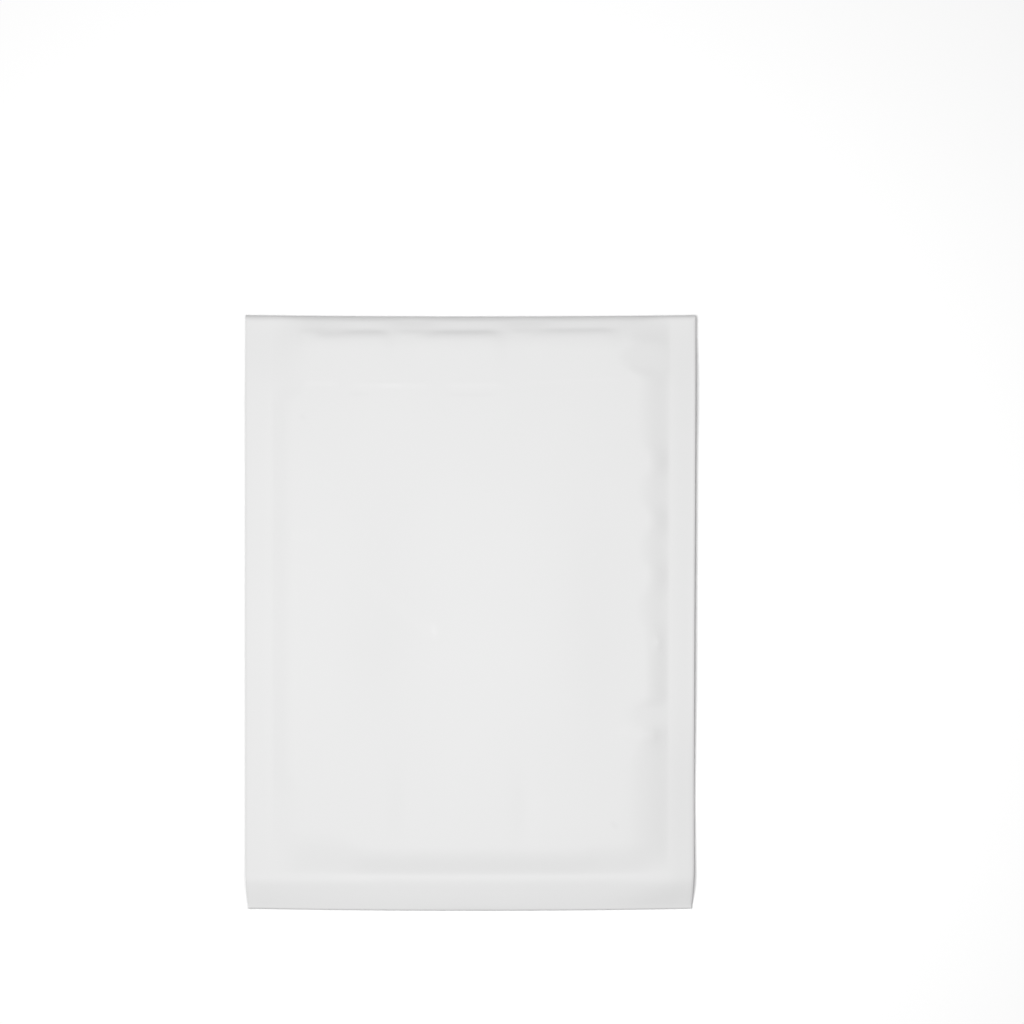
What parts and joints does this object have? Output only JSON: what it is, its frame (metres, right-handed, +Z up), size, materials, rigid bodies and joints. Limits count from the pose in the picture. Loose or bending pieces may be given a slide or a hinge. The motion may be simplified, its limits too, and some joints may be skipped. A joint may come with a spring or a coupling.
{
  "type": "padded mailing envelope",
  "caption": "White paper mailing envelope lined with bubble film, empty and flat, with its adhesive flap folded behind.",
  "frame": {"origin": "on the table, under the middle of the envelope's outline", "axes": "+Y from the bottom edge to the top fold, +X to the right seen from the front, +Z up out of the front face"},
  "size_m": [0.17, 0.225, 0.0085],
  "materials": {
    "white_paper": "matt white paper with a faint fibre",
    "bubble_film": "clear polyethylene bubble film",
    "adhesive": "tacky hot-melt film",
    "silicone_paper": "smooth siliconed paper",
    "glossy_tape": "glossy film tape, slightly crinkled"
  },
  "bodies": {
    "root": {"paper_cover": "white_paper", "bubble_lining": "bubble_film", "adhesive_strip": "adhesive", "release_liner": "silicone_paper", "reopen_tape": "glossy_tape"}
  },
  "joints": []
}
